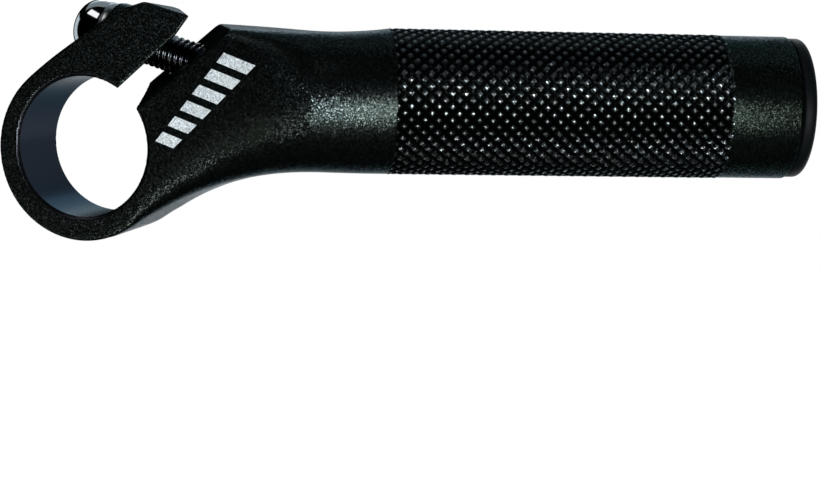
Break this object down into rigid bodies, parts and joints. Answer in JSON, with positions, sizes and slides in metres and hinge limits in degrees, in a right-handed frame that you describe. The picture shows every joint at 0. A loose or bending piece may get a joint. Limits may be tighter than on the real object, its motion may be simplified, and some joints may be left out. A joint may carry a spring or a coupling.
{
  "type": "bicycle bar end",
  "caption": "Clamp-on bicycle bar end: a forged neck with a split clamp for the end of a handlebar, a pinch bolt and a knurled hand grip with a plugged end.",
  "frame": {"origin": "centre of the clamp's bore, halfway through the clamp's width", "axes": "+Y along the handlebar, towards the side the grip leans to; +X from the bar's axis towards the grip; +Z to the side of the clamp that has the slot and the bolt"},
  "size_m": [0.1246, 0.0541, 0.038],
  "materials": {
    "body": "bead-blasted and anodised black",
    "clamp_bolt": "polished chrome plate on the head",
    "washer": "bright zinc plate",
    "end_plug": "satin moulded black"
  },
  "bodies": {
    "bar_end": {"body": "body", "end_plug": "end_plug"},
    "washer": {"washer": "washer"},
    "bolt": {"clamp_bolt": "clamp_bolt"}
  },
  "joints": [
    {"name": "bolt_travel", "type": "slide", "parent": "bar_end", "child": "washer", "axis": [-0.9636, 0, 0.2672], "range_m": [0, 0.007]},
    {"name": "bolt_turn", "type": "hinge", "parent": "washer", "child": "bolt", "pos_m": [0.00249, 0, 0.01758], "axis": [-0.9636, 0, 0.2672], "range_deg": [0, 2520]}
  ],
  "couplings": [
    {"joint": "bolt_turn", "follows": "bolt_travel", "rad_per_m": 6283.2}
  ]
}
